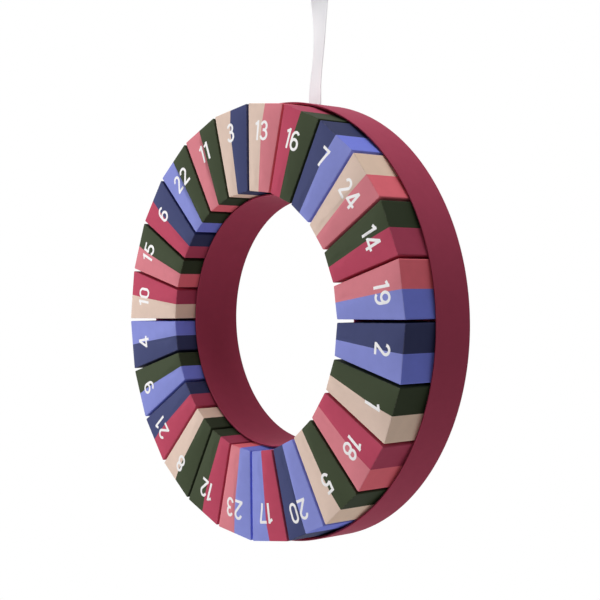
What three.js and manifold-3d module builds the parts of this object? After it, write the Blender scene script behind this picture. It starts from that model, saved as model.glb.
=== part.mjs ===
// Wreath advent calendar: a ring-shaped tray of wrapped board that holds 24 numbered wedge-shaped boxes.
// Millimetres, +Z up, the numbered fronts face -Y. The origin is where a hook carries the ribbon's loop.
// Each box is a base glued into the tray and a deep lid that slides off it towards the front.
import * as THREE from "three";
import { mergeVertices } from "three/addons/utils/BufferGeometryUtils.js";
import Module from "manifold-3d";

// Colours of the printed papers and the other materials
const paper = {
  burgundy: 0xb03d5a,
  raspberry: 0xb8405f,
  pink: 0xd17883,
  beige: 0xd6bfa8,
  green: 0x3b4a33,
  navy: 0x3f4570,
  periwinkle: 0x7277cc,
  ivory: 0xe6dfd2,
};
const satin = 0xe8e4ec;
const paperRoughness = 0.78;
const satinRoughness = 0.45;

// The boxes clockwise from the top, as seen from the front, each with the paper of the half that is on the
// left where its number is read upright
const boxes = [
  { number: 13, colour: paper.beige },
  { number: 16, colour: paper.raspberry },
  { number: 7, colour: paper.navy },
  { number: 24, colour: paper.beige },
  { number: 14, colour: paper.green },
  { number: 19, colour: paper.pink },
  { number: 2, colour: paper.navy },
  { number: 1, colour: paper.green },
  { number: 18, colour: paper.raspberry },
  { number: 5, colour: paper.green },
  { number: 20, colour: paper.periwinkle },
  { number: 17, colour: paper.raspberry },
  { number: 23, colour: paper.periwinkle },
  { number: 12, colour: paper.raspberry },
  { number: 8, colour: paper.green },
  { number: 21, colour: paper.raspberry },
  { number: 9, colour: paper.periwinkle },
  { number: 4, colour: paper.navy },
  { number: 10, colour: paper.beige },
  { number: 15, colour: paper.pink },
  { number: 6, colour: paper.raspberry },
  { number: 22, colour: paper.periwinkle },
  { number: 11, colour: paper.pink },
  { number: 3, colour: paper.beige },
];

// Ring tray
const trayDiameter = 350; // across the outer wall
const holeDiameter = 198.4; // across the open middle
const wallBoard = 1.8; // thickness of both round walls
const outerWallHeight = 34.5; // from its rear edge to its front rim
const innerWallHeight = 43.5; // the inner wall stands further forward
const backBoard = 2; // thickness of the board that carries the boxes
const backingSheet = 0.5; // thickness of the paper on the rear
const backingMargin = 2.5; // the backing paper stops this far inside the tray's round edges

// Boxes
const boxGap = 2.4; // between two neighbouring lids
const lidBoard = 1; // thickness of a lid's board
const lidDepth = 60.3; // from the edges of a lid's front to its rear rim
const frontCrown = 2; // the middle of a lid's front bulges this far beyond its edges
const lidRest = 0.5; // a seated lid's rear rim stays this far off the back board
const lidWallClearance = 0.85; // between a lid and the tray's round walls
const slipFit = 0.5; // between a lid's inside and its base
const baseBoard = 0.8; // thickness of a base's board
const baseDepth = 41; // from a base's floor to its front rim

// Ribbon
const ribbonWidth = 15;
const ribbonThickness = 0.5;
const ribbonOffset = 10.5; // its foot stands this far right of the ring's top, seen from the front
const grooveClearance = 0.5; // beside the ribbon in the groove that its tail is glued into
const knotWidth = 19; // at its middle
const knotEnd = 13; // width of its flat ends
const knotThickness = 9;
const knotHeight = 12;
const loopHeight = 50; // from the knot to the loop's crown
const loopWidth = 20; // across the loop's widest place

// Joints between pieces, and fineness of the round ones
const glueLine = 0.3;
const roundSegments = 72; // points in half a turn of a round wall
const crownSteps = { along: 10, across: 6 };
const crownFall = { inner: 8, outer: 4, side: 2 }; // the higher, the nearer to that edge the bulge falls off
const loopSteps = 36;
const knotSides = 20;
const knotSteps = 6;
const mergeTolerance = 1e-4;

// The ribbon's route, chosen point by point: millimetres above the tray's top, millimetres to the right of
// its foot, and degrees that its width has turned away from the tray's back
const ribbonRoute = [
  [-30, 0, 0],
  [-22, 0, 0],
  [-14, 0, 0],
  [-6, 0, 0],
  [0, 0, 0],
  [6, 0.1, 0],
  [12, 0.3, -1.5],
  [18, 0.9, -3.5],
  [24, 1.8, -5.5],
  [30, 2.8, -6.5],
  [36, 3.9, -6.8],
  [42, 4.9, -6.6],
  [48, 5.7, -5.6],
  [54, 6.3, -3.6],
  [60, 6.7, -0.8],
  [66, 6.9, 3],
  [72, 7, 9],
  [78, 7, 17],
  [84, 7, 26],
  [90, 7, 34],
  [96, 7, 40],
];

// Places worked out from the sizes. The ring is built lying on its back: x to the right, y up the wreath,
// z forward from the rear face.
const trayRadius = trayDiameter / 2;
const holeRadius = holeDiameter / 2;
const outerWallInside = trayRadius - wallBoard;
const innerWallOutside = holeRadius + wallBoard;
const boardRear = backingSheet + glueLine;
const boardFront = boardRear + backBoard;
const baseRear = boardFront + glueLine;
const lidRear = boardFront + lidRest;
const halfSector = Math.PI / boxes.length;
const ribbonPlane = boardRear + glueLine + ribbonThickness / 2;
const [routeTop, routeLean, routeTwist] = ribbonRoute.at(-1);
const knotFoot = trayRadius + routeTop + glueLine;
const loopFoot = knotFoot + knotHeight + glueLine;
const hangPoint = {
  x: ribbonOffset + routeLean,
  y: loopFoot + loopHeight - ribbonThickness,
  z: ribbonPlane,
};

const wasm = await Module();
wasm.setup();

function solidFrom(geometry) {
  const bare = new THREE.BufferGeometry();
  bare.setAttribute("position", geometry.getAttribute("position"));
  bare.setIndex(geometry.index);
  const merged = mergeVertices(bare, mergeTolerance);
  const vertProperties = merged.getAttribute("position").array;
  const triVerts = new Uint32Array(merged.index.array);
  return new wasm.Manifold(new wasm.Mesh({ numProp: 3, vertProperties, triVerts }));
}

function geometryFrom(solid) {
  const { vertProperties, triVerts } = solid.getMesh();
  const indexed = new THREE.BufferGeometry();
  indexed.setAttribute("position", new THREE.BufferAttribute(vertProperties, 3));
  indexed.setIndex(new THREE.BufferAttribute(triVerts, 1));
  const faceted = indexed.toNonIndexed();
  faceted.computeVertexNormals();
  return faceted;
}

function piece(name, geometry, colour, roughness) {
  const material = new THREE.MeshStandardMaterial({ color: colour, roughness, metalness: 0 });
  const mesh = new THREE.Mesh(geometry, material);
  mesh.name = name;
  return mesh;
}

function extruded(shape, height) {
  return new THREE.ExtrudeGeometry(shape, {
    depth: height,
    bevelEnabled: false,
    curveSegments: roundSegments,
  });
}

// A flat ring, or a round wall when it is tall
function ring(outerRadius, innerRadius, height, rear) {
  const shape = new THREE.Shape().absarc(0, 0, outerRadius, 0, 2 * Math.PI);
  shape.holes.push(new THREE.Path().absarc(0, 0, innerRadius, 0, 2 * Math.PI, true));
  return extruded(shape, height).translate(0, 0, rear);
}

// How far from the ring's centre a flat face stands whose corners touch a circle, where the corners keep
// a margin to the edges of the box's sector
function faceInside(radius, margin) {
  const along = Math.sqrt(radius ** 2 - margin ** 2);
  return along * Math.cos(halfSector) + margin * Math.sin(halfSector);
}

// A wedge along +x, between two flat faces, that keeps a margin to both edges of its sector. Its front may
// bulge to a crown between straight edges.
function wedge({ innerFace, outerFace, margin }, height, crown = 0) {
  const steps = crown > 0 ? crownSteps : { along: 1, across: 1 };
  const block = new THREE.BoxGeometry(2, 2, 1, steps.along, steps.across, 1);
  const corner = block.getAttribute("position");
  for (let index = 0; index < corner.count; index += 1) {
    const along = corner.getX(index);
    const across = corner.getY(index);
    const x = THREE.MathUtils.mapLinear(along, -1, 1, innerFace, outerFace);
    const halfWidth = x * Math.tan(halfSector) - margin / Math.cos(halfSector);
    const endFall = 1 - Math.abs(along) ** (along < 0 ? crownFall.inner : crownFall.outer);
    const sideFall = 1 - Math.abs(across) ** crownFall.side;
    const z = corner.getZ(index) > 0 ? height + crown * endFall * sideFall : 0;
    corner.setXYZ(index, x, across * halfWidth, z);
  }
  return block;
}

// The same wedge with all four sides drawn in
function drawnIn({ innerFace, outerFace, margin }, inset) {
  return {
    innerFace: innerFace + inset,
    outerFace: outerFace - inset,
    margin: margin + inset,
  };
}

const lidOutside = {
  innerFace: innerWallOutside + lidWallClearance,
  outerFace: faceInside(outerWallInside - lidWallClearance, boxGap / 2),
  margin: boxGap / 2,
};
const lidInside = drawnIn(lidOutside, lidBoard);
const baseOutside = drawnIn(lidInside, slipFit);
const baseInside = drawnIn(baseOutside, baseBoard);

// A lid is open at the rear and closed by its numbered front.
function lidGeometry() {
  const block = solidFrom(wedge(lidOutside, lidDepth, frontCrown));
  const hollow = solidFrom(wedge(lidInside, lidDepth, frontCrown).translate(0, 0, -lidBoard));
  return geometryFrom(block.subtract(hollow));
}

// A base is open at the front, where its lid slides on.
function baseGeometry() {
  const block = solidFrom(wedge(baseOutside, baseDepth));
  const hollow = solidFrom(wedge(baseInside, baseDepth).translate(0, 0, baseBoard));
  return geometryFrom(block.subtract(hollow));
}

// The groove in the rear of the board and the outer wall, where the ribbon's tail is glued in
function ribbonGroove() {
  const [tailEnd] = ribbonRoute[0];
  const width = ribbonWidth + 2 * grooveClearance;
  const depth = ribbonThickness + 2 * glueLine;
  const length = -tailEnd + 2 * grooveClearance;
  const cutter = new THREE.BoxGeometry(width, length, 2 * depth);
  cutter.translate(ribbonOffset, trayRadius + tailEnd - grooveClearance + length / 2, boardRear);
  return solidFrom(cutter);
}

function trayPieces() {
  const groove = ribbonGroove();
  const outerWall = ring(trayRadius, outerWallInside, outerWallHeight, boardRear);
  const innerWall = ring(innerWallOutside, holeRadius, innerWallHeight, boardRear);
  const board = ring(outerWallInside - glueLine, innerWallOutside + glueLine, backBoard, boardRear);
  const backing = ring(trayRadius - backingMargin, holeRadius + backingMargin, backingSheet, 0);
  const groovedBoard = geometryFrom(solidFrom(board).subtract(groove));
  const groovedWall = geometryFrom(solidFrom(outerWall).subtract(groove));
  return [
    piece("ring_backing_sheet", backing, paper.burgundy, paperRoughness),
    piece("ring_back_board", groovedBoard, paper.burgundy, paperRoughness),
    piece("ring_outer_wall", groovedWall, paper.burgundy, paperRoughness),
    piece("ring_inner_wall", innerWall, paper.burgundy, paperRoughness),
  ];
}

function boxPieces() {
  const base = baseGeometry();
  const lid = lidGeometry();
  return boxes.flatMap(({ number, colour }, index) => {
    const label = String(number).padStart(2, "0");
    const baseMesh = piece(`box_base_${label}`, base, paper.ivory, paperRoughness);
    const lidMesh = piece(`box_lid_${label}`, lid, colour, paperRoughness);
    const angle = Math.PI / 2 - (2 * index + 1) * halfSector;
    baseMesh.position.z = baseRear;
    lidMesh.position.z = lidRear;
    baseMesh.rotation.z = angle;
    lidMesh.rotation.z = angle;
    return [baseMesh, lidMesh];
  });
}

// A flat strip through sections, each with its middle and the direction of its width; the strip's thickness
// lies across both its width and the way it runs
function strip(sections, width, thickness) {
  const corners = [];
  sections.forEach(({ middle, across }, index) => {
    const before = sections[Math.max(index - 1, 0)].middle;
    const after = sections[Math.min(index + 1, sections.length - 1)].middle;
    const along = new THREE.Vector3().subVectors(after, before).normalize();
    const through = new THREE.Vector3().crossVectors(along, across).normalize();
    for (const [side, face] of [[-1, -1], [1, -1], [1, 1], [-1, 1]]) {
      const corner = middle.clone();
      corner.addScaledVector(across, (side * width) / 2);
      corner.addScaledVector(through, (face * thickness) / 2);
      corners.push(corner);
    }
  });
  const last = corners.length - 4;
  const faces = [0, 2, 1, 0, 3, 2, last, last + 1, last + 2, last, last + 2, last + 3];
  for (let start = 0; start < last; start += 4) {
    for (let edge = 0; edge < 4; edge += 1) {
      const a = start + edge;
      const b = start + ((edge + 1) % 4);
      faces.push(a, b, b + 4, a, b + 4, a + 4);
    }
  }
  const geometry = new THREE.BufferGeometry().setFromPoints(corners);
  geometry.setIndex(faces);
  const faceted = geometry.toNonIndexed();
  faceted.computeVertexNormals();
  return faceted;
}

function widthDirection(degrees) {
  const turn = THREE.MathUtils.degToRad(degrees);
  return new THREE.Vector3(Math.cos(turn), 0, -Math.sin(turn));
}

function ribbonStrand() {
  const sections = ribbonRoute.map(([rise, lean, twist]) => ({
    middle: new THREE.Vector3(ribbonOffset + lean, trayRadius + rise, ribbonPlane),
    across: widthDirection(twist),
  }));
  return strip(sections, ribbonWidth, ribbonThickness);
}

// The knot is a barrel with flat ends, wider than it is thick.
function ribbonKnot() {
  const profile = new THREE.Path();
  profile.moveTo(0, 0);
  profile.lineTo(knotEnd / 2, 0);
  profile.quadraticCurveTo(knotWidth - knotEnd / 2, knotHeight / 2, knotEnd / 2, knotHeight);
  profile.lineTo(0, knotHeight);
  const barrel = new THREE.LatheGeometry(profile.getPoints(knotSteps), knotSides);
  const closed = geometryFrom(solidFrom(barrel));
  closed.scale(1, 1, knotThickness / knotWidth);
  closed.rotateY(THREE.MathUtils.degToRad(routeTwist));
  return closed.translate(ribbonOffset + routeLean, knotFoot, ribbonPlane);
}

// The loop rises from the knot as two strands that part and meet in a round crown.
function ribbonLoop() {
  const across = widthDirection(routeTwist);
  const outwards = new THREE.Vector3().crossVectors(across, new THREE.Vector3(0, 1, 0));
  const foot = new THREE.Vector3(ribbonOffset + routeLean, loopFoot, ribbonPlane);
  const height = loopHeight - ribbonThickness / 2;
  const widestSpread = (3 * Math.sqrt(3)) / 8; // the most that spread reaches below
  const sections = [];
  for (let step = 0; step <= loopSteps; step += 1) {
    const turn = Math.PI * (2 * (step / loopSteps) - 1);
    const spread = Math.sin(turn) * Math.cos(turn / 2) ** 2;
    const strandGap = (ribbonThickness / 2 + glueLine) * (turn / Math.PI);
    const middle = foot.clone();
    middle.addScaledVector(outwards, ((spread / widestSpread) * loopWidth) / 2 + strandGap);
    middle.y += (height * (1 + Math.cos(turn))) / 2;
    sections.push({ middle, across });
  }
  return strip(sections, ribbonWidth, ribbonThickness);
}

function ribbonPieces() {
  return [
    piece("hanging_ribbon", ribbonStrand(), satin, satinRoughness),
    piece("ribbon_knot", ribbonKnot(), satin, satinRoughness),
    piece("ribbon_loop", ribbonLoop(), satin, satinRoughness),
  ];
}

const wreath = new THREE.Group();
wreath.add(...trayPieces(), ...boxPieces(), ...ribbonPieces());

// The lying ring is turned to hang with its fronts towards -Y, and its loop's crown comes to the origin.
wreath.rotation.x = Math.PI / 2;
wreath.position.set(-hangPoint.x, hangPoint.z, -hangPoint.y);

const part = new THREE.Group();
part.add(wreath);

export default part;
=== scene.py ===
# Wreath advent calendar: 24 two-tone paper boxes in a round tray that hangs on a satin ribbon.
# Metres, +Z up, the numbered fronts face -Y. The origin is where a hook carries the ribbon's loop.
import math

import bmesh
import bpy
from mathutils import Matrix, Vector
from mathutils.geometry import delaunay_2d_cdt


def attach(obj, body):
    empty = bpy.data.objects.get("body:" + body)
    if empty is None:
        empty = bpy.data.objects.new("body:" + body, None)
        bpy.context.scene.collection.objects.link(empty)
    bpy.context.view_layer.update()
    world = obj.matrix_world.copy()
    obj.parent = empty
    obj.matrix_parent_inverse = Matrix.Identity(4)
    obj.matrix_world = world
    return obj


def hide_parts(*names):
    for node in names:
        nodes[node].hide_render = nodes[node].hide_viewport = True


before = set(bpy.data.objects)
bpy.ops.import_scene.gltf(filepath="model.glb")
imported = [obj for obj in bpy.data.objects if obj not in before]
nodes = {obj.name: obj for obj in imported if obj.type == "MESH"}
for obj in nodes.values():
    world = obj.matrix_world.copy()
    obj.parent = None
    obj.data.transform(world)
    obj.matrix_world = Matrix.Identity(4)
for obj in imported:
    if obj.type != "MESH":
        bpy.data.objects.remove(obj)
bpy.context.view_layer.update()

mm = 0.001
print("frame loaded with", len(nodes), "nodes")

# The ring is laid out on its back, in millimetres: x to the right, y up the wreath, z forward from
# the rear face. These three say where that frame hangs.
ringMiddleX = -17.5
ringMiddleZ = -333.1
rearFaceY = 1.35
boxCount = 24
halfSector = math.pi / boxCount


def hung(x, y, z):
    return Vector((ringMiddleX + x, rearFaceY - z, ringMiddleZ + y)) * mm


# The camera stands to the right of the wreath and looks up at it very slightly.
cameraSet = {
    "azimuth": 49.51,     # degrees round to the right of straight in front
    "elevation": -2.4,
    "roll": -0.66,
    "distance": 966.3,    # mm from the plane of the fronts, along the line of sight
    "sideways": -39.8,    # mm, the ring's middle off that line
    "upwards": -55.6,
    "frontPlane": 63.6,   # mm from the rear face to the edges of the fronts
    "lens": 73.44,
    "shiftUp": -0.0833,   # of the picture's height: the wreath hangs low in the frame
}


def addCamera(given):
    turn, rise, roll = (math.radians(given[k]) for k in ("azimuth", "elevation", "roll"))
    level = math.cos(rise)
    back = Vector((math.sin(turn) * level, -math.cos(turn) * level, math.sin(rise)))
    levelRight = Vector((math.cos(turn), math.sin(turn), 0))
    levelUp = back.cross(levelRight)
    right = math.cos(roll) * levelRight + math.sin(roll) * levelUp
    up = back.cross(right)
    offset = given["distance"] * back - given["sideways"] * right - given["upwards"] * up
    data = bpy.data.cameras.new("photoCamera")
    data.sensor_width = 36
    data.lens = given["lens"]
    data.shift_y = given["shiftUp"]
    data.clip_end = 50
    camera = bpy.data.objects.new("photoCamera", data)
    bpy.context.scene.collection.objects.link(camera)
    camera.matrix_world = (
        Matrix.Translation(hung(0, 0, given["frontPlane"]) + offset * mm)
        @ Matrix((right, up, back)).transposed().to_4x4()
    )
    bpy.context.scene.camera = camera


addCamera(cameraSet)
print("camera set")


def linearColour(hexText):
    channels = [int(hexText[i:i + 2], 16) / 255 for i in (0, 2, 4)]
    return [c / 12.92 if c <= 0.04045 else ((c + 0.055) / 1.055) ** 2.4 for c in channels] + [1.0]


def addNode(tree, kind, settings=None, inputs=None):
    node = tree.nodes.new(kind)
    for name, value in (settings or {}).items():
        setattr(node, name, value)
    for name, value in (inputs or {}).items():
        if isinstance(value, bpy.types.NodeSocket):
            tree.links.new(value, node.inputs[name])
        else:
            node.inputs[name].default_value = value
    return node


def newMaterial(name):
    material = bpy.data.materials.new(name)
    material.use_nodes = True
    material.node_tree.nodes.clear()
    return material


def finishMaterial(material, surface):
    tree = material.node_tree
    addNode(tree, "ShaderNodeOutputMaterial", inputs={"Surface": surface})
    return material


def newPiece(name, mesh, body, materials):
    for material in materials:
        mesh.materials.append(material)
    piece = bpy.data.objects.new(name, mesh)
    bpy.context.scene.collection.objects.link(piece)
    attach(piece, body)
    return piece


def bandCells(low, high):
    # The corners of each face in a closed band between two rows of points
    pairs = list(zip(low, high))
    return [(a, c, d, b) for (a, b), (c, d) in zip(pairs, pairs[1:] + pairs[:1])]


def meshFrom(bm, name):
    bmesh.ops.recalc_face_normals(bm, faces=bm.faces)
    for face in bm.faces:
        face.smooth = True
    mesh = bpy.data.meshes.new(name)
    bm.to_mesh(mesh)
    bm.free()
    return mesh


# The ribbon: polyester double-faced satin, woven, with two firm selvedges. The floats lie along it,
# so it shines in streaks along its length and its edges look a touch whiter.
ribbonSet = {
    "width": 15,
    "thickness": 0.5,          # at the selvedges
    "middleThickness": 0.36,
    "selvedge": 0.9,           # width of the firm edge
    "edgeRounding": 0.12,      # mm
    "selvedgeSlope": 0.4,      # mm over which it thins towards the middle
    "footX": 10.5,             # its foot stands this far right of the ring's top
    "trayRadius": 175,
    "plane": 1.35,             # its middle, forward from the rear face
    "stepsBetween": 5,         # sections for each step of the route
    "gatherOver": 9,           # mm of it next to the knot that are drawn into pleats
    "drawnIn": 0.3,            # share of the width that is lost there
    "pleats": 2,
    "pleatDepth": 0.9,         # mm
    "colour": "f1f1f7",
    "shadeColour": "e8e7ee",
    "glow": 0.85,              # how much light the thin weave lets through
    "glowReach": 1.0,          # mm
    "streak": 0.7,             # mm across, a bundle of floats; threads of 0.1 mm wouldn't show
    "streakLength": 30,
    "weft": 0.55,              # mm, real rows are 0.2 mm apart and too fine to show
    "weftShare": 0.35,         # of the relief, the rest comes from the streaks
    "relief": 0.05,            # mm
    "roughness": 0.42,
    "roughnessSwing": 0.08,
}
# Millimetres above the tray's top, millimetres right of its foot, degrees that its width has turned
ribbonRoute = [
    (-30, 0, 0), (-22, 0, 0), (-14, 0, 0), (-6, 0, 0), (0, 0, 0), (6, 0.1, 0), (12, 0.3, -1.5),
    (18, 0.9, -3.5), (24, 1.8, -5.5), (30, 2.8, -6.5), (36, 3.9, -6.8), (42, 4.9, -6.6),
    (48, 5.7, -5.6), (54, 6.3, -3.6), (60, 6.7, -0.8), (66, 6.9, 3), (72, 7, 9), (78, 7, 17),
    (84, 7, 26), (90, 7, 34), (96, 7, 40),
]


def satinRibbon(given):
    material = newMaterial("polyester satin, woven")
    tree = material.node_tree
    along = addNode(tree, "ShaderNodeUVMap", {"uv_map": "weave"}).outputs["UV"]
    across = addNode(tree, "ShaderNodeTangent", {
        "direction_type": "UV_MAP", "uv_map": "weave",
    }).outputs["Tangent"]
    streakAt = addNode(tree, "ShaderNodeMapping", inputs={
        "Vector": along,
        "Scale": (1 / (given["streak"] * mm), 1 / (given["streakLength"] * mm), 1),
    }).outputs["Vector"]
    streaks = addNode(tree, "ShaderNodeTexNoise", inputs={
        "Vector": streakAt, "Scale": 1.0, "Detail": 3.0,
    }).outputs["Fac"]
    weft = addNode(tree, "ShaderNodeTexWave", {"bands_direction": "Y"}, {
        "Vector": along, "Scale": 2 * math.pi / (20 * given["weft"] * mm),
        "Distortion": 0.4, "Detail": 1.0,
    }).outputs["Fac"]
    # The base colour is painted lighter along the streaks, a painted sheen beside the real swing in
    # roughness
    colour = addNode(tree, "ShaderNodeMix", {"data_type": "RGBA"}, {
        0: streaks, 6: linearColour(given["shadeColour"]), 7: linearColour(given["colour"]),
    }).outputs[2]
    relief = addNode(tree, "ShaderNodeMix", {"data_type": "FLOAT"}, {
        0: given["weftShare"], 2: streaks, 3: weft,
    }).outputs[0]
    bump = addNode(tree, "ShaderNodeBump", inputs={
        "Strength": 0.25, "Distance": given["relief"] * mm, "Height": relief,
    }).outputs["Normal"]
    rough = addNode(tree, "ShaderNodeMapRange", inputs={
        "Value": streaks,
        "To Min": given["roughness"] + given["roughnessSwing"],
        "To Max": given["roughness"] - given["roughnessSwing"],
    }).outputs["Result"]
    satin = addNode(tree, "ShaderNodeBsdfPrincipled", inputs={
        "Base Color": colour, "Roughness": rough, "Normal": bump, "IOR": 1.55,
        "Specular IOR Level": 0.8, "Anisotropic": 0.8, "Tangent": across,
        "Sheen Weight": 0.8, "Sheen Roughness": 0.5, "Subsurface Weight": given["glow"],
        "Subsurface Radius": (1.0, 1.0, 1.0), "Subsurface Scale": given["glowReach"] * mm,
    })
    return finishMaterial(material, satin.outputs["BSDF"])


def routeAt(place):
    # A smooth curve through the route's points (Catmull-Rom)
    start = min(int(place), len(ribbonRoute) - 2)
    t = place - start
    picked = [ribbonRoute[min(max(start + k, 0), len(ribbonRoute) - 1)] for k in (-1, 0, 1, 2)]
    return [
        0.5 * (2 * b + (c - a) * t + (2 * a - 5 * b + 4 * c - d) * t * t
               + (3 * b - a - 3 * c + d) * t ** 3)
        for a, b, c, d in zip(*picked)
    ]


def ribbonStrip(name, sections, given):
    # A section is its middle, the direction of its width and how far the knot draws it in, 0 to 1.
    # The profile is (place across the width, half the thickness there) from edge to edge.
    half = given["width"] / 2
    thick, thin = given["thickness"] / 2, given["middleThickness"] / 2
    inner = half - given["selvedge"]
    profile = [
        (-half, thick / 2), (-half + given["edgeRounding"], thick), (-inner, thick),
        (-inner + given["selvedgeSlope"], thin),
    ]
    profile += [(u * inner / 8, thin) for u in range(-7, 8)]
    profile += [(-u, deep) for u, deep in reversed(profile[:4])]
    bm = bmesh.new()
    weave = bm.loops.layers.uv.new("weave")
    rows, travelled = [], 0.0
    for index, (middle, across, drawn) in enumerate(sections):
        before = sections[max(index - 1, 0)][0]
        after = sections[min(index + 1, len(sections) - 1)][0]
        through = (after - before).normalized().cross(across).normalized()
        if index:
            travelled += (middle - before).length
        row = []
        for side in (1, -1):
            for u, deep in profile if side > 0 else reversed(profile):
                pleat = math.cos(given["pleats"] * math.pi * u / half)
                height = side * deep + drawn * given["pleatDepth"] * pleat
                wide = u * (1 - drawn * given["drawnIn"])
                vertex = bm.verts.new(middle + (across * wide + through * height) * mm)
                row.append((vertex, u * mm, travelled))
        rows.append(row)
    cells = [cell for low, high in zip(rows, rows[1:]) for cell in bandCells(low, high)]
    for cell in cells + [rows[0], rows[-1]]:
        face = bm.faces.new([corner[0] for corner in cell])
        for loop, corner in zip(face.loops, cell):
            loop[weave].uv = corner[1:]
    return meshFrom(bm, name)


def drawnAt(away, given):
    near = max(0, 1 - away / given["gatherOver"])
    return near * near * (3 - 2 * near)


def acrossAt(degrees):
    turn = math.radians(degrees)
    return Vector((math.cos(turn), math.sin(turn), 0))


knotSet = {
    "foot": 271.3,        # mm above the ring's middle
    "height": 12,
    "width": 19,
    "endWidth": 13,
    "thickness": 9,
    "dimple": 1.1,        # mm that the ends are drawn in round the strands
    "neck": 0.62,         # width of the dimple, of the end's
    "endRounding": 0.14,  # of the height, over which each end is rounded
    "endDrop": 0.2,       # of the half width, what the rounding takes off
    "folds": 5,           # soft pleats down the knot
    "foldDepth": 0.07,    # of the knot's half width
    "foldTwist": 3,       # radians that the pleats wind round on their way up
    "turnSlant": 0.17,    # of the height: the turn that crosses in front runs aslant
    "turnWidth": 0.27,    # half the width of that turn, of the height
    "turnFade": 0.3,      # softness of its edges, of that half width
    "turnSink": 0.13,     # how far the rest lies below the turn, of the half width
    "crease": 0.035,      # depth of the crease along the turn, of the half width
    "creaseWidth": 0.25,
    "rows": 40,
    "around": 96,
}
loopSet = {
    "foot": 283.6, "height": 49.75, "width": 20, "strandGap": 0.55,   # mm
    "gather": 0.8, "steps": 96,
}


def knotMesh(given, middleX, plane, twist):
    # A drawn-up overhand knot: the strands run through it in pleats, and one turn of the ribbon
    # lies over them, aslant and with its own crease.
    bm = bmesh.new()
    across = acrossAt(twist)
    through = Vector((-across.y, across.x, 0))
    base = hung(middleX, given["foot"], plane)
    steps = [(0.0, given["dimple"], given["neck"])]
    for step in range(given["rows"] + 1):
        t = step / given["rows"]
        rounding = min(1, min(t, 1 - t) / given["endRounding"])
        drop = given["endDrop"] * (1 - math.sqrt(rounding * (2 - rounding)))
        steps.append((t, t * given["height"], 1 - drop))
    steps.append((1.0, given["height"] - given["dimple"], given["neck"]))
    rows = []
    for t, height, squeeze in steps:
        bulge = 4 * t * (1 - t)
        half = given["endWidth"] / 2 + (given["width"] - given["endWidth"]) / 2 * bulge
        row = []
        for k in range(given["around"]):
            turn = 2 * math.pi * k / given["around"]
            fromTurn = abs(t - 0.5 - given["turnSlant"] * math.cos(turn)) / given["turnWidth"]
            onTurn = (1 + given["turnFade"] / 2 - fromTurn) / given["turnFade"]
            onTurn = max(0, min(1, onTurn))
            onTurn *= onTurn * (3 - 2 * onTurn)
            pleat = 0.5 + 0.5 * math.cos(given["folds"] * 2 * turn + given["foldTwist"] * t)
            crease = given["crease"] * math.exp(-((fromTurn / given["creaseWidth"]) ** 2))
            beside = given["turnSink"] + given["foldDepth"] * pleat
            sunk = (1 - onTurn) * beside + onTurn * crease
            radius = half * squeeze * (1 - sunk)
            aside = across * (radius * math.cos(turn))
            deep = through * (radius * math.sin(turn) * given["thickness"] / given["width"])
            row.append(bm.verts.new(base + (aside + deep + Vector((0, 0, height))) * mm))
        rows.append(row)
    for low, high in zip(rows, rows[1:]):
        for cell in bandCells(low, high):
            bm.faces.new(cell)
    bm.faces.new(rows[0])
    bm.faces.new(rows[-1])
    weave = bm.loops.layers.uv.new("weave")
    for face in bm.faces:
        for loop in face.loops:
            place = loop.vert.co - base
            loop[weave].uv = (place.z, place.dot(across))
    return meshFrom(bm, "ribbon_knot_tied")


def addRibbon(given):
    satin = satinRibbon(given)
    sections = []
    for step in range((len(ribbonRoute) - 1) * given["stepsBetween"] + 1):
        rise, lean, twist = routeAt(step / given["stepsBetween"])
        middle = hung(given["footX"] + lean, given["trayRadius"] + rise, given["plane"])
        sections.append((middle, acrossAt(twist), drawnAt(ribbonRoute[-1][0] - rise, given)))
    strandMesh = ribbonStrip("hanging_ribbon_satin", sections, given)
    strand = newPiece("hanging_ribbon_satin", strandMesh, "wreath", [satin])
    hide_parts("hanging_ribbon")

    rise, lean, twist = ribbonRoute[-1]
    middleX = given["footX"] + lean
    tied = knotMesh(knotSet, middleX, given["plane"], twist)
    knot = newPiece("ribbon_knot_tied", tied, "wreath", [satin])
    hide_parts("ribbon_knot")

    across = acrossAt(twist)
    outwards = across.cross(Vector((0, 0, 1)))
    foot = hung(middleX, loopSet["foot"], given["plane"])
    widestSpread = 3 * math.sqrt(3) / 8   # the most that the drop's curve below reaches
    loopSections = []
    for step in range(loopSet["steps"] + 1):
        turn = math.pi * (2 * step / loopSet["steps"] - 1)
        spread = math.sin(turn) * math.cos(turn / 2) ** 2 / widestSpread
        aside = spread * loopSet["width"] / 2 + loopSet["strandGap"] * turn / math.pi
        upward = loopSet["height"] * (1 + math.cos(turn)) / 2
        middle = foot + (outwards * aside + Vector((0, 0, upward))) * mm
        loopSections.append((middle, across, loopSet["gather"] * drawnAt(upward, given)))
    loopMesh = ribbonStrip("ribbon_loop_satin", loopSections, given)
    loop = newPiece("ribbon_loop_satin", loopMesh, "wreath", [satin])
    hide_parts("ribbon_loop")


addRibbon(ribbonSet)
print("ribbon tied")

# The papers: offset-printed uncoated paper on grey board, matt laminated. Matt and slightly cloudy,
# with a faint lighter line where a fold has cracked the print.
paperSet = {
    "fibre": 0.9,          # mm, real fibres are 0.03 mm across; drawn coarser so that they show
    "fibreRelief": 0.02,   # mm
    "cloud": 9,            # mm, unevenness of the sheet
    "cloudDepth": 0.035,
    "rub": 2.6,            # mm, length of a scuff along a fold
    "wear": 0.1,
    "core": "cfc6bd",      # the board where the print has cracked
    "roughness": 0.66,
    "roughnessSwing": 0.06,
}
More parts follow.
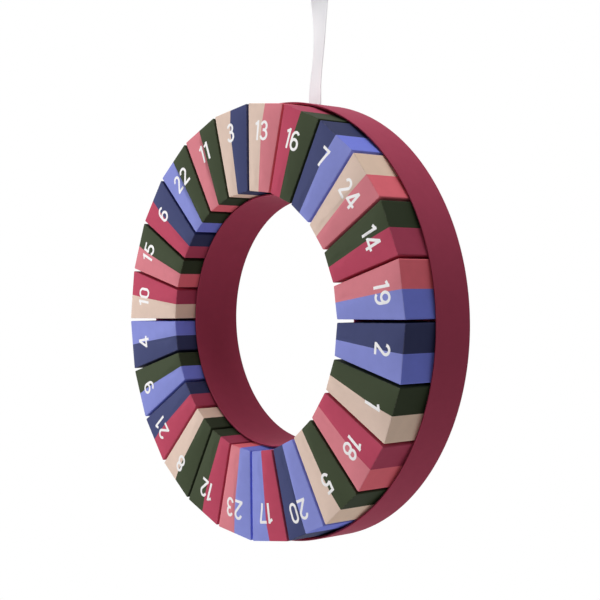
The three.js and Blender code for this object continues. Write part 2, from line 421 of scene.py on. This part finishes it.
# The colour on a front and the one on the sides. The sides' colour is painted light and shade:
# deeper and more saturated, lighter on pink and beige, darker on green and navy.
paperColours = {
    "burgundy": ("ae445d", "ae445d"),
    "raspberry": ("b94760", "b44862"),
    "pink": ("d57e88", "f67683"),
    "beige": ("ddc4b5", "fadcc5"),
    "green": ("3d4631", "333b29"),
    "navy": ("414770", "383d61"),
    "periwinkle": ("878ed3", "808bed"),
}


def printedPaper(name, frontColour, paintedSideShadingColour, given):
    material = newMaterial(name)
    tree = material.node_tree
    place = addNode(tree, "ShaderNodeTexCoord").outputs["Object"]
    fibres = addNode(tree, "ShaderNodeTexNoise", inputs={
        "Vector": place, "Scale": 1 / (given["fibre"] * mm), "Detail": 3.0, "Roughness": 0.6,
    }).outputs["Fac"]
    clouds = addNode(tree, "ShaderNodeTexNoise", inputs={
        "Vector": place, "Scale": 1 / (given["cloud"] * mm), "Detail": 4.0, "Roughness": 0.55,
    }).outputs["Fac"]
    tone = addNode(tree, "ShaderNodeMapRange", inputs={
        "Value": clouds, "From Min": 0.25, "From Max": 0.75,   # what the noise gives
        "To Min": 1 - given["cloudDepth"], "To Max": 1 + given["cloudDepth"],
    }).outputs["Result"]
    # On the sides the paper takes its second colour, which is painted light and shade
    side = addNode(tree, "ShaderNodeAttribute", {"attribute_name": "paintedSideShading"}).outputs["Fac"]
    sheet = addNode(tree, "ShaderNodeMix", {"data_type": "RGBA"}, {
        0: side, 6: linearColour(frontColour), 7: linearColour(paintedSideShadingColour),
    }).outputs[2]
    printed = addNode(tree, "ShaderNodeMix", {"data_type": "RGBA", "blend_type": "MULTIPLY"}, {
        0: 1.0, 6: sheet, 7: tone,
    }).outputs[2]
    fold = addNode(tree, "ShaderNodeAttribute", {"attribute_name": "foldLine"}).outputs["Fac"]
    scuffs = addNode(tree, "ShaderNodeTexNoise", inputs={
        "Vector": place, "Scale": 1 / (given["rub"] * mm), "Detail": 2.0,
    }).outputs["Fac"]
    scuffed = addNode(tree, "ShaderNodeMapRange", inputs={
        "Value": scuffs, "From Min": 0.42, "From Max": 0.68, "To Max": given["wear"],
    }).outputs["Result"]
    worn = addNode(tree, "ShaderNodeMath", {"operation": "MULTIPLY"}, {
        0: fold, 1: scuffed,
    }).outputs[0]
    colour = addNode(tree, "ShaderNodeMix", {"data_type": "RGBA"}, {
        0: worn, 6: printed, 7: linearColour(given["core"]),
    }).outputs[2]
    rough = addNode(tree, "ShaderNodeMapRange", inputs={
        "Value": fibres,
        "To Min": given["roughness"] - given["roughnessSwing"],
        "To Max": given["roughness"] + given["roughnessSwing"],
    }).outputs["Result"]
    bump = addNode(tree, "ShaderNodeBump", inputs={
        "Strength": 0.5, "Distance": given["fibreRelief"] * mm, "Height": fibres,
    }).outputs["Normal"]
    paper = addNode(tree, "ShaderNodeBsdfPrincipled", inputs={
        "Base Color": colour, "Roughness": rough, "Normal": bump, "IOR": 1.5,
        "Specular IOR Level": 0.08,
    })
    return finishMaterial(material, paper.outputs["BSDF"])


# The ink of the numbers: opaque white, screen printed, so it lies flat and is a little smoother
# than the paper.
inkSet = {
    "colour": "ebe9ea", "shadeColour": "e4e2e2", "roughness": 0.45,
    "grain": 1.2, "relief": 0.01,   # mm
    "reliefShare": 0.3,
}
# The inside of the boxes: bleached folding carton, uncoated. Warm white with a few darker flecks.
cardSet = {
    "colour": "e6dfd2", "fleckColour": "b9ab97", "roughness": 0.8,
    "fleck": 1.1, "fibre": 0.8,   # mm
}
# The cut edge of the boards: pressed grey board, drawn with a fine grain in its tone and relief.
coreSet = {
    "colour": "c9bfb0", "shadeColour": "9d9384", "roughness": 0.85,
    "grain": 0.5, "relief": 0.05,   # mm
    "reliefShare": 0.6,
}


def grainedFinish(name, given):
    # The ink and the cut edge both have one fine grain, in their tone and in their relief
    material = newMaterial(name)
    tree = material.node_tree
    place = addNode(tree, "ShaderNodeTexCoord").outputs["Object"]
    grain = addNode(tree, "ShaderNodeTexNoise", inputs={
        "Vector": place, "Scale": 1 / (given["grain"] * mm), "Detail": 2.0,
    }).outputs["Fac"]
    colour = addNode(tree, "ShaderNodeMix", {"data_type": "RGBA"}, {
        0: grain, 6: linearColour(given["shadeColour"]), 7: linearColour(given["colour"]),
    }).outputs[2]
    bump = addNode(tree, "ShaderNodeBump", inputs={
        "Strength": given["reliefShare"], "Distance": given["relief"] * mm, "Height": grain,
    }).outputs["Normal"]
    surface = addNode(tree, "ShaderNodeBsdfPrincipled", inputs={
        "Base Color": colour, "Roughness": given["roughness"], "Normal": bump, "IOR": 1.5,
    })
    return finishMaterial(material, surface.outputs["BSDF"])


def cartonCard(given):
    material = newMaterial("folding carton, bleached")
    tree = material.node_tree
    place = addNode(tree, "ShaderNodeTexCoord").outputs["Object"]
    flecks = addNode(tree, "ShaderNodeTexNoise", inputs={
        "Vector": place, "Scale": 1 / (given["fleck"] * mm), "Detail": 4.0, "Roughness": 0.7,
    }).outputs["Fac"]
    fleckMask = addNode(tree, "ShaderNodeMapRange", inputs={
        "Value": flecks, "From Min": 0.6, "From Max": 0.75, "To Max": 0.45,
    }).outputs["Result"]
    colour = addNode(tree, "ShaderNodeMix", {"data_type": "RGBA"}, {
        0: fleckMask, 6: linearColour(given["colour"]), 7: linearColour(given["fleckColour"]),
    }).outputs[2]
    fibres = addNode(tree, "ShaderNodeTexNoise", inputs={
        "Vector": place, "Scale": 1 / (given["fibre"] * mm), "Detail": 3.0,
    }).outputs["Fac"]
    bump = addNode(tree, "ShaderNodeBump", inputs={
        "Strength": 0.5, "Distance": 0.03 * mm, "Height": fibres,
    }).outputs["Normal"]
    card = addNode(tree, "ShaderNodeBsdfPrincipled", inputs={
        "Base Color": colour, "Roughness": given["roughness"], "Normal": bump, "IOR": 1.5,
    })
    return finishMaterial(material, card.outputs["BSDF"])


papers = {name: printedPaper(name + " paper, printed and matt", front, side, paperSet)
          for name, (front, side) in paperColours.items()}
ink = grainedFinish("white ink, screen printed", inkSet)
carton = cartonCard(cardSet)
core = grainedFinish("grey board, cut edge", coreSet)
print("papers printed")

# The tray: grey board wrapped in printed paper, which is drawn over the rims and glued down.
traySet = {
    "outerRadius": 175, "holeRadius": 99.2, "wall": 1.8,
    "rear": 0.8, "outerFront": 35.3, "innerFront": 44.3,
    "rim": 0.85,             # rounding of the front rims
    "rearRim": 0.4,
    "step": 1.25,            # degrees between sections
    "overlap": 0.15,         # the paper's thickness where its end laps over its start
    "lapLength": 14,         # degrees over which the lap fades
    "outerLap": 250,         # degrees, where the outer wall's paper ends
    "innerLap": -24,
    "lapEdge": 0.06,         # degrees, the step down at that end
    "backingInner": 100, "backingOuter": 174.2,   # it covers the walls' glue lines
    "backingThickness": 0.5,
    "backingRear": 0.12, "backingFront": 0.05,   # roundings of its edges
    "grooveFrom": 2.5, "grooveTo": 18.5, "grooveFloor": 1.9,   # where the ribbon goes in, mm
    "grooveEdge": 0.01,      # degrees
    "evenAbove": 0.4,        # mm above its floor, where the shading is even again
}
shadingRow = 0.25   # mm from a rounding, a row of points that keeps the flat evenly shaded


def rounded(corners, steps=4):
    # A closed profile of (radius, z) corners, each with its own rounding
    points = []
    for index, (r, z, rounding) in enumerate(corners):
        here = Vector((r, z))
        before = Vector(corners[index - 1][:2]) - here
        after = Vector(corners[(index + 1) % len(corners)][:2]) - here
        start = here + before.normalized() * rounding
        end = here + after.normalized() * rounding
        middle = start + end - here
        points.append(start + before.normalized() * shadingRow)
        for step in range(steps + 1):
            angle = math.pi / 2 * step / steps
            points.append(
                middle + (start - middle) * math.cos(angle) + (end - middle) * math.sin(angle))
        points.append(end + after.normalized() * shadingRow)
    return points


def withRow(profile, height):
    # One more point where the profile crosses this height, so that the shading above it stays even
    points = []
    for start, end in zip(profile, profile[1:] + profile[:1]):
        points.append(start)
        if (start.y - height) * (end.y - height) < 0:
            points.append(start.lerp(end, (height - start.y) / (end.y - start.y)))
    return points


def turned(name, profile, given, lapAt=None, groove=False):
    # The profile is turned round the ring. Its skin is a paper whose end laps over its start.
    angles = {round(k * given["step"], 4) for k in range(int(360 / given["step"]))}
    if lapAt is not None:
        lapStart = lapAt % 360
        angles |= {lapStart - given["lapEdge"], lapStart}
    if groove:
        for edge in (given["grooveFrom"], given["grooveTo"]):
            exact = 90 - math.degrees(math.asin(edge / given["outerRadius"]))
            angles |= {exact - given["grooveEdge"], exact + given["grooveEdge"]}
    middleRadius = sum(r for r, z in profile) / len(profile)
    bm = bmesh.new()
    rows = []
    for degrees in sorted(angles):
        turn = math.radians(degrees)
        lift = 0.0
        if lapAt is not None:
            past = (degrees - lapAt) % 360
            lift = given["overlap"] * max(0.0, 1 - past / given["lapLength"])
        row = []
        for r, z in profile:
            outwards = lift if r > middleRadius else -lift
            x, y = (r + outwards) * math.cos(turn), (r + outwards) * math.sin(turn)
            inGroove = groove and y > 0 and given["grooveFrom"] < x < given["grooveTo"]
            row.append(bm.verts.new(hung(x, y, max(z, given["grooveFloor"]) if inGroove else z)))
        rows.append(row)
    for low, high in zip(rows, rows[1:] + rows[:1]):
        for cell in bandCells(low, high):
            bm.faces.new(cell)
    bmesh.ops.dissolve_degenerate(bm, dist=1e-7, edges=bm.edges)
    return meshFrom(bm, name)


def addTray(given):
    wall, rim, rearRim = given["wall"], given["rim"], given["rearRim"]
    outer, hole, lap = given["outerRadius"], given["holeRadius"], given["overlap"]
    outerProfile = rounded([
        (outer - lap, given["rear"], rearRim), (outer - lap, given["outerFront"], rim - lap / 2),
        (outer - wall, given["outerFront"], rim - lap / 2), (outer - wall, given["rear"], rearRim),
    ])
    innerProfile = rounded([
        (hole + wall, given["rear"], rearRim), (hole + wall, given["innerFront"], rim - lap / 2),
        (hole + lap, given["innerFront"], rim - lap / 2), (hole + lap, given["rear"], rearRim),
    ])
    sheet, rear, front = given["backingThickness"], given["backingRear"], given["backingFront"]
    backingProfile = rounded([
        (given["backingOuter"], 0, rear), (given["backingOuter"], sheet, front),
        (given["backingInner"], sheet, front), (given["backingInner"], 0, rear),
    ])
    outerProfile = withRow(outerProfile, given["grooveFloor"] + given["evenAbove"])
    made = {
        "ring_outer_wall": turned(
            "outer_wall_wrapped", outerProfile, given, given["outerLap"], True),
        "ring_inner_wall": turned("inner_wall_wrapped", innerProfile, given, given["innerLap"]),
        "ring_backing_sheet": turned("backing_sheet_glued", backingProfile, given),
    }
    for node, mesh in made.items():
        piece = newPiece(mesh.name, mesh, "wreath", [papers["burgundy"]])
        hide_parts(node)
    board = nodes["ring_back_board"]
    board.data.materials.clear()
    board.data.materials.append(papers["burgundy"])


addTray(traySet)
print("tray wrapped")

# The boxes clockwise from the top: the number, the colours of its left and right half where it is
# read upright, how far its top stands in from the front's outer edge, and how far it was printed to
# the right of the middle, in mm.
boxes = [
    {"number": 13, "left": "beige", "right": "pink", "inset": 13.5, "aside": -0.5},
    {"number": 16, "left": "raspberry", "right": "green", "inset": 15, "aside": -0.5},
    {"number": 7, "left": "navy", "right": "periwinkle", "inset": 12, "aside": -0.5},
    {"number": 24, "left": "beige", "right": "pink", "inset": 13, "aside": 0},
    {"number": 14, "left": "green", "right": "raspberry", "inset": 10.5, "aside": 0},
    {"number": 19, "left": "pink", "right": "periwinkle", "inset": 10.5, "aside": 0},
    {"number": 2, "left": "navy", "right": "periwinkle", "inset": 11, "aside": -0.5},
    {"number": 1, "left": "green", "right": "beige", "inset": 11, "aside": -0.5},
    {"number": 18, "left": "raspberry", "right": "pink", "inset": 14.5, "aside": -1},
    {"number": 5, "left": "green", "right": "beige", "inset": 14, "aside": -1},
    {"number": 20, "left": "periwinkle", "right": "navy", "inset": 9.5, "aside": 0},
    {"number": 17, "left": "raspberry", "right": "periwinkle", "inset": 13.5, "aside": 0},
    {"number": 23, "left": "periwinkle", "right": "pink", "inset": 12.5, "aside": 0.5},
    {"number": 12, "left": "raspberry", "right": "green", "inset": 13.5, "aside": -0.5},
    {"number": 8, "left": "green", "right": "beige", "inset": 10.5, "aside": 1},
    {"number": 21, "left": "raspberry", "right": "navy", "inset": 10.5, "aside": 0},
    {"number": 9, "left": "periwinkle", "right": "green", "inset": 10.5, "aside": -0.5},
    {"number": 4, "left": "navy", "right": "periwinkle", "inset": 13.5, "aside": 0},
    {"number": 10, "left": "beige", "right": "raspberry", "inset": 14, "aside": 0.5},
    {"number": 15, "left": "pink", "right": "green", "inset": 11, "aside": 0.5},
    {"number": 6, "left": "raspberry", "right": "navy", "inset": 15, "aside": 1},
    {"number": 22, "left": "periwinkle", "right": "green", "inset": 14.5, "aside": 1},
    {"number": 11, "left": "pink", "right": "green", "inset": 14, "aside": 1},
    {"number": 3, "left": "beige", "right": "navy", "inset": 11, "aside": -0.5},
]
lidSet = {
    "innerFace": 101.85, "outerFace": 171.078, "margin": 1.2,   # mm, the wedge that a lid fills
    "rear": 3.3, "depth": 60.3, "crown": 2, "board": 1,
    "innerFall": 8, "outerFall": 4, "sideFall": 2,
    "fold": 0.5,          # rounding of the front's folds
    "corner": 0.8,        # rounding of the upright corners
    "insideCorner": 0.2,
    "cutEdge": 0.15,      # rounding of the board's cut edge
    "panelStep": 3.2,     # mm between points of the crowned front
}
baseSet = {
    "inset": 1.5, "rear": 3.1, "depth": 41, "board": 0.8, "corner": 0.8,
    "insideCorner": 0.2, "cutEdge": 0.12, "panelStep": 12,
    "foot": 0.4,          # rounding of the bottom's folds
}
numberSet = {
    "height": 15.6,       # mm, of a digit
    "stroke": 2.2,
    "between": 1.9,
    "curveSteps": 12,     # for half a turn of a digit's curve
}


def bend(centreX, centreY, radiusX, radiusY, fromDegrees, toDegrees):
    sweep = toDegrees - fromDegrees
    steps = max(2, round(abs(sweep) / 180 * numberSet["curveSteps"]))
    angles = [math.radians(fromDegrees + sweep * k / steps) for k in range(steps + 1)]
    return [(centreX + radiusX * math.cos(a), centreY + radiusY * math.sin(a)) for a in angles]


def digitStrokes(digit):
    # A digit's width and the middle lines of its strokes, in mm from its lower left corner
    top = numberSet["height"]
    edge = numberSet["stroke"] / 2
    if digit == 0:
        return 9.0, [bend(4.5, top - edge - 3.6, 3.4, 3.6, 0, 180)
                     + bend(4.5, edge + 3.6, 3.4, 3.6, 180, 360) + [(7.9, top - edge - 3.6)]]
    if digit == 1:
        return 5.2, [[(4.0, 0), (4.0, top)], [(4.0, top - 1.3), (0.6, top - 3.2)]]
    if digit == 2:
        return 9.0, [bend(4.4, top - edge - 3.4, 3.3, 3.4, 175, -28) + [(1.3, edge + 0.3)],
                     [(0.3, edge), (8.9, edge)]]
    if digit == 3:
        return 9.2, [bend(4.5, top - edge - 3.2, 3.1, 3.2, 165, -80) + [(3.4, top / 2 + 0.6)],
                     [(3.4, top / 2 + 0.6)] + bend(4.5, edge + 3.6, 3.6, 3.6, 80, -165)]
    if digit == 4:
        return 10.0, [[(6.9, 0), (6.9, top)], [(0.0, 4.2), (10.0, 4.2)],
                      [(6.7, top - 0.6), (0.9, 4.2)]]
    if digit == 5:
        return 9.2, [[(1.4, top - edge), (8.4, top - edge)], [(2.1, top - 0.2), (1.7, top / 2)],
                     [(1.5, top / 2 + 0.3)] + bend(4.5, edge + 3.9, 3.6, 3.9, 118, -160)]
    if digit == 6:
        return 9.4, [bend(4.7, edge + 3.9, 3.6, 3.9, 0, 360),
                     [(1.1, edge + 3.9)] + bend(4.9, top - edge - 4.6, 3.8, 4.6, 180, 42)]
    if digit == 7:
        return 9.0, [[(0.2, top - edge), (8.9, top - edge)],
                     [(8.0, top - edge), (6.6, top * 0.68), (5.2, top * 0.4), (4.2, top * 0.18),
                      (3.7, 0)]]
    if digit == 8:
        return 9.4, [bend(4.7, top - edge - 3.3, 3.1, 3.3, 0, 360),
                     bend(4.7, edge + 3.75, 3.6, 3.75, 0, 360)]
    return 9.4, [bend(4.7, top - edge - 3.9, 3.6, 3.9, 0, 360),
                 [(8.3, top - edge - 3.9)] + bend(4.5, edge + 4.6, 3.8, 4.6, 0, -138)]


def strokeSections(line, width):
    # Left and right edge of a stroke at each of its points
    points = [Vector(p) for p in line]
    closed = (points[0] - points[-1]).length < 1e-4
    sections = []
    for index, point in enumerate(points):
        before = points[index - 1] if index else points[-2] if closed else point
        after = points[index + 1] if index + 1 < len(points) else points[1] if closed else point
        heading = (after - before).normalized()
        aside = Vector((-heading.y, heading.x)) * (width / 2)
        sections.append((point + aside, point - aside))
    if closed:
        sections[-1] = sections[0]
    return sections


def numberQuads(number, inset, aside):
    # The number's strokes as four-cornered cells on the front: x is outwards, which is its upright
    digits = [int(letter) for letter in str(number)]
    strokes = [digitStrokes(digit) for digit in digits]
    total = sum(width for width, lines in strokes) + numberSet["between"] * (len(digits) - 1)
    startX = aside - total / 2
    foot = lidSet["outerFace"] - inset - numberSet["height"]
    quads = []
    for width, lines in strokes:
        for line in lines:
            sections = strokeSections(line, numberSet["stroke"])
            for (leftA, rightA), (leftB, rightB) in zip(sections, sections[1:]):
                cell = (leftA, rightA, rightB, leftB)
                quads.append([(foot + p.y, -(startX + p.x)) for p in cell])
        startX += width + numberSet["between"]
    return quads


def wedgeHalfWidth(x, margin):
    return x * math.tan(halfSector) - margin / math.cos(halfSector)


flatRow = 0.5   # mm from a corner or fold, a row of points that keeps the face beside it flat


def wedgeOutline(given, inset, corner, sideSteps=18, outerSteps=12, innerSteps=8):
    # The wedge drawn in by inset, with rounded corners, counter-clockwise from its outer right one.
    # A point stands on the middle of both end faces, where the two papers meet.
    drawn = inset + corner
    low, high = given["innerFace"] + drawn, given["outerFace"] - drawn
    margin = given["margin"] + drawn
    wideHigh, wideLow = wedgeHalfWidth(high, margin), wedgeHalfWidth(low, margin)
    slant = 90 + math.degrees(halfSector)
    corners = [
        (high, -wideHigh, -slant, 0), (high, wideHigh, 0, slant), (low, wideLow, slant, 180),
        (low, -wideLow, 180, 360 - slant),
    ]
    points = []
    for index, (x, y, fromDegrees, toDegrees) in enumerate(corners):
        for step in range(4):
            angle = math.radians(fromDegrees + (toDegrees - fromDegrees) * step / 3)
            points.append(Vector((x + corner * math.cos(angle), y + corner * math.sin(angle))))
        nextX, nextY, nextFrom, _ = corners[(index + 1) % 4]
        angle = math.radians(nextFrom)
        end = Vector((nextX + corner * math.cos(angle), nextY + corner * math.sin(angle)))
        start = points[-1].copy()
        steps = (outerSteps, sideSteps, innerSteps, sideSteps)[index]
        hold = flatRow / (end - start).length
        shares = [hold] + [k / steps for k in range(1, steps)] + [1 - hold]
        points += [start.lerp(end, share) for share in shares]
    return points


def crownHeight(x, y, given, low, high, margin):
    along = max(-1, min(1, 2 * (x - low) / (high - low) - 1))
    across = max(-1, min(1, y / wedgeHalfWidth(x, margin)))
    endFall = 1 - abs(along) ** (given["innerFall"] if along < 0 else given["outerFall"])
    return given["crown"] * endFall * (1 - abs(across) ** given["sideFall"])


def panelCells(outline, quads, step):
    # The panel inside the outline as triangles, cut along its middle and round the number's strokes
    corners = [tuple(p) for p in outline]
    rim = list(range(len(corners)))
    highX = max(p[0] for p in corners)
    lowX = min(p[0] for p in corners)
    halves = [index for index in rim if abs(corners[index][1]) < 1e-6]
    grid = []
    nearby = (highX - lowX) / 14   # rim points this near to a row say how wide it may be
    rows = max(2, round((highX - lowX) / step))
    for row in range(1, rows):
        x = lowX + (highX - lowX) * row / rows
        reach = max(abs(p[1]) for p in corners if abs(p[0] - x) < nearby)
        reach -= math.tan(halfSector) * nearby
        columns = max(1, round(reach / step))
        for column in range(-columns + 1, columns):
            if column:
                grid.append((x, reach * column / columns))
    first = len(corners)
    corners += grid
    cells = []
    for quad in quads:
        start = len(corners)
        corners += quad
        cells.append([start, start + 1, start + 2, start + 3])
    vertices, _, faces, origin, _, owners = delaunay_2d_cdt(
        [Vector(p) for p in corners], [tuple(halves)], [rim] + cells, 1, 1e-5, True)
    kept = []
    for face, owner in zip(faces, owners):
        if 0 in owner:
            middleY = sum(vertices[k].y for k in face) / len(face)
            kept.append((face, "ink" if len(owner) > 1 else "left" if middleY > 0 else "right"))
    rimOf = {}
    for index, sources in enumerate(origin):
        for source in sources:
            if source < first:
                rimOf[index] = source
    return vertices, kept, rimOf


def boxMesh(name, given, place, rings, panels, slots):
    # Rings are (inset, corner, height of each point, paper of the faces that follow, wear of the
    # fold, share of the sides' colour, which is painted light and shade). The panels close the
    # first and the last ring.
    bm = bmesh.new()
    foldLine = bm.verts.layers.float.new("foldLine")
    paintedSideShading = bm.verts.layers.float.new("paintedSideShading")
    made = []
    for inset, corner, heightOf, finish, worn, side in rings:
        outline = wedgeOutline(given, inset, corner)
        row = []
        for point in outline:
            vertex = bm.verts.new((point.x, point.y, heightOf(point.x, point.y)))
            vertex[foldLine] = worn
            vertex[paintedSideShading] = side
            row.append(vertex)
        made.append((outline, row, finish))
    for (_, low, finish), (_, high, _) in zip(made, made[1:]):
        for cell in bandCells(low, high):
            face = bm.faces.new(cell)
            middleY = (cell[0].co.y + cell[1].co.y) / 2
            paper = finish if finish in slots else "left" if middleY > 0 else "right"
            face.material_index = slots.index(paper)
    for (outline, row, _), (quads, heightOf, finish) in zip((made[0], made[-1]), panels):
        vertices, cells, rimOf = panelCells(outline, quads, given["panelStep"])
        placed = {}
        for cell, paper in cells:
            for index in cell:
                if index not in placed:
                    if index in rimOf:
                        placed[index] = row[rimOf[index]]
                    else:
                        point = vertices[index]
                        placed[index] = bm.verts.new((point.x, point.y, heightOf(point.x, point.y)))
            face = bm.faces.new([placed[index] for index in cell])
            face.material_index = slots.index(finish or paper)
    bm.transform(place)
    return meshFrom(bm, name)


def boxPlace(index, rear):
    # From a box's own frame (x outwards, y to the number's left, z forward, mm) to where it hangs
    around = Matrix.Rotation(math.pi / 2 - (2 * index + 1) * halfSector, 4, "Z")
    forward = Matrix.Translation((0, 0, rear))
    upright = Matrix((
        (1, 0, 0, ringMiddleX), (0, 0, -1, rearFaceY), (0, 1, 0, ringMiddleZ), (0, 0, 0, 1)))
    return Matrix.Scale(mm, 4) @ upright @ forward @ around


def atHeight(z):
    return lambda x, y: z


def levelRings(rows):
    # Rings that lie level, without wear and in the sides' colour, which is painted light and shade.
    # Those about 1 mm from an edge keep the long faces evenly shaded.
    return [(inset, corner, atHeight(z), finish, 0.0, 1.0) for inset, corner, z, finish in rows]


def addLid(index, box, given):
    low, high, margin = given["innerFace"], given["outerFace"], given["margin"]
    board, fold, depth, corner = given["board"], given["fold"], given["depth"], given["corner"]
    cutEdge, insideCorner = given["cutEdge"], given["insideCorner"]

    def front(x, y):
        return depth + crownHeight(x, y, given, low, high, margin)

    def inside(x, y):
        return depth - board + crownHeight(x, y, given, low + board, high - board, margin + board)

    rings = [(fold + flatRow, corner - fold + 0.02, front, "split", 0.0, 0.0)]
    foldSteps = 4
    for step in range(foldSteps + 1):
        angle = math.pi / 2 * step / foldSteps
        drop = fold * (1 - math.cos(angle))
        drawnIn = fold * (1 - math.sin(angle))
        # The last value blends the sides' painted light and shade in over the fold
        rings.append((
            drawnIn, corner - drawnIn, lambda x, y, d=drop: front(x, y) - d, "split",
            1.0 if 0 < step < foldSteps else 0.0, step / foldSteps,
        ))
    # Down the sides, round the cut edge and up the inside
    rings += levelRings([
        (0, corner, depth - fold - 0.6, "split"),
        (0, corner, depth / 2, "split"),
        (0, corner, 0.8, "split"),
        (0, corner, cutEdge, "core"),
        (cutEdge, corner - cutEdge, 0, "core"),
        (board - cutEdge, 0.35, 0, "core"),
        (board, insideCorner, cutEdge, "card"),
        (board, insideCorner, 1.2, "card"),
        (board, insideCorner, depth - board - 0.8, "card"),
    ])
    rings.append((board, insideCorner, inside, "card", 0.0, 1.0))
    label = "%02d" % box["number"]
    slots = ["left", "right", "ink", "card", "core"]
    number = numberQuads(box["number"], box["inset"], box["aside"])
    panels = [(number, front, None), ([], inside, "card")]
    place = boxPlace(index, given["rear"])
    mesh = boxMesh("lid_printed_" + label, given, place, rings, panels, slots)
    lid = newPiece("lid_printed_" + label, mesh, "lid_" + label,
                   [papers[box["left"]], papers[box["right"]], ink, carton, core])
    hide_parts("box_lid_" + label)


def addBase(index, box, given):
    wedge = {
        "innerFace": lidSet["innerFace"] + given["inset"],
        "outerFace": lidSet["outerFace"] - given["inset"],
        "margin": lidSet["margin"] + given["inset"], "panelStep": given["panelStep"],
    }
    board, corner, depth, foot = given["board"], given["corner"], given["depth"], given["foot"]
    cutEdge, insideCorner = given["cutEdge"], given["insideCorner"]
    # Round the foot, up the outside, over the cut edge and down the inside
    rings = levelRings([
        (foot + flatRow, 0.3, 0, "card"),
        (foot, corner - foot, 0, "card"),
        (foot / 4, corner - foot / 4, foot / 4, "card"),
        (0, corner, foot, "card"),
        (0, corner, 1.2, "card"),
        (0, corner, depth - 0.8, "card"),
        (0, corner, depth - cutEdge, "core"),
        (cutEdge, corner - cutEdge, depth, "core"),
        (board - cutEdge, 0.3, depth, "core"),
        (board, insideCorner, depth - cutEdge, "card"),
        (board, insideCorner, depth - 0.9, "card"),
        (board, insideCorner, board + 0.9, "card"),
        (board, insideCorner, board, "card"),
    ])
    label = "%02d" % box["number"]
    panels = [([], atHeight(0), "card"), ([], atHeight(board), "card")]
    place = boxPlace(index, given["rear"])
    mesh = boxMesh("base_folded_" + label, wedge, place, rings, panels, ["card", "core"])
    base = newPiece("base_folded_" + label, mesh, "wreath", [carton, core])
    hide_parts("box_base_" + label)


for index, box in enumerate(boxes):
    addLid(index, box, lidSet)
    addBase(index, box, baseSet)
print("boxes folded and numbered")

# The studio: soft lamps in front on the left and overhead, a weaker one below, a small spot on the
# ribbon, whose top turns away from them, and a pale floor
studioSet = {
    "floorDrop": 1.25,      # m below the hook
    "floorForward": 0.03,
    "floorRadius": 1.9,
    "floorColour": "f2f2f2",
    "floorGlow": 0.72,      # share of plain white in the floor's middle as the camera sees it
    "glowFrom": 0.6,        # m from the middle, where the share starts to rise
    "glowTo": 1.8,          # and where it is all white
    "worldStrength": 0.3,
    "middle": (0, 0, 30),   # mm on the ring, where a lamp without "towards" is aimed
    "lamps": [              # "at" is counted from what a lamp is aimed at, in metres
        {"name": "key", "at": (-0.9, -1.05, 0.15), "size": 0.9, "power": 13},
        {"name": "top", "at": (0.15, -0.1, 1.3), "size": 0.9, "power": 9.6},
        {"name": "low", "at": (0.05, -0.75, -0.72), "size": 0.6, "power": 1.2},
        {"name": "ribbonSpot", "at": (0.55, -0.6, 0.3), "size": 0.06, "power": 0.005, "spread": 8,
         "towards": (14, 292, 0)},
    ],
}


def whiteToCamera(tree, shown, lit):
    # White where the camera, a gloss or a glass looks at it, and the given strength as light
    path = addNode(tree, "ShaderNodeLightPath")
    seen = path.outputs["Is Camera Ray"]
    for ray in ("Is Glossy Ray", "Is Transmission Ray"):
        seen = addNode(tree, "ShaderNodeMath", {"operation": "MAXIMUM"}, {
            0: seen, 1: path.outputs[ray],
        }).outputs[0]
    return addNode(tree, "ShaderNodeMixShader", inputs={0: seen, 1: lit, 2: shown}).outputs[0]


def addStudio(given):
    scene = bpy.context.scene
    world = bpy.data.worlds.new("studio")
    scene.world = world
    world.use_nodes = True
    tree = world.node_tree
    tree.nodes.clear()
    white = (1, 1, 1, 1)
    lit = addNode(tree, "ShaderNodeBackground", inputs={
        "Strength": given["worldStrength"],
    }).outputs[0]
    shown = addNode(tree, "ShaderNodeBackground", inputs={"Color": white}).outputs[0]
    addNode(tree, "ShaderNodeOutputWorld", inputs={"Surface": whiteToCamera(tree, shown, lit)})

    for lamp in given["lamps"]:
        target = hung(*lamp.get("towards", given["middle"]))
        data = bpy.data.lights.new(lamp["name"], "AREA")
        data.shape = "DISK"
        data.size = lamp["size"]
        data.energy = lamp["power"]
        data.spread = math.radians(lamp.get("spread", 180))
        light = bpy.data.objects.new(lamp["name"], data)
        light.location = target + Vector(lamp["at"])
        light.rotation_mode = "QUATERNION"
        light.rotation_quaternion = (target - light.location).to_track_quat("-Z", "Y")
        scene.collection.objects.link(light)

    material = newMaterial("floor, painted")
    tree = material.node_tree
    place = addNode(tree, "ShaderNodeTexCoord").outputs["Object"]
    away = addNode(tree, "ShaderNodeVectorMath", {"operation": "LENGTH"}, {
        0: place,
    }).outputs["Value"]
    fade = addNode(tree, "ShaderNodeMapRange", {"interpolation_type": "SMOOTHSTEP"}, {
        "Value": away, "From Min": given["glowFrom"], "From Max": given["glowTo"],
        "To Min": given["floorGlow"],
    }).outputs["Result"]
    paint = addNode(tree, "ShaderNodeBsdfDiffuse", inputs={
        "Color": linearColour(given["floorColour"]),
    }).outputs[0]
    glow = addNode(tree, "ShaderNodeEmission", inputs={"Color": white}).outputs[0]
    floorSurface = addNode(tree, "ShaderNodeMixShader", inputs={
        0: fade, 1: paint, 2: whiteToCamera(tree, glow, paint),
    }).outputs[0]
    finishMaterial(material, floorSurface)
    bm = bmesh.new()
    bmesh.ops.create_circle(bm, cap_ends=True, segments=96, radius=given["floorRadius"])
    mesh = bpy.data.meshes.new("floor")
    bm.to_mesh(mesh)
    bm.free()
    mesh.materials.append(material)
    floor = bpy.data.objects.new("floor", mesh)
    floor.location = (ringMiddleX * mm, -given["floorForward"], -given["floorDrop"])
    scene.collection.objects.link(floor)
    scene.view_settings.view_transform = "Standard"


addStudio(studioSet)
print("studio lit")
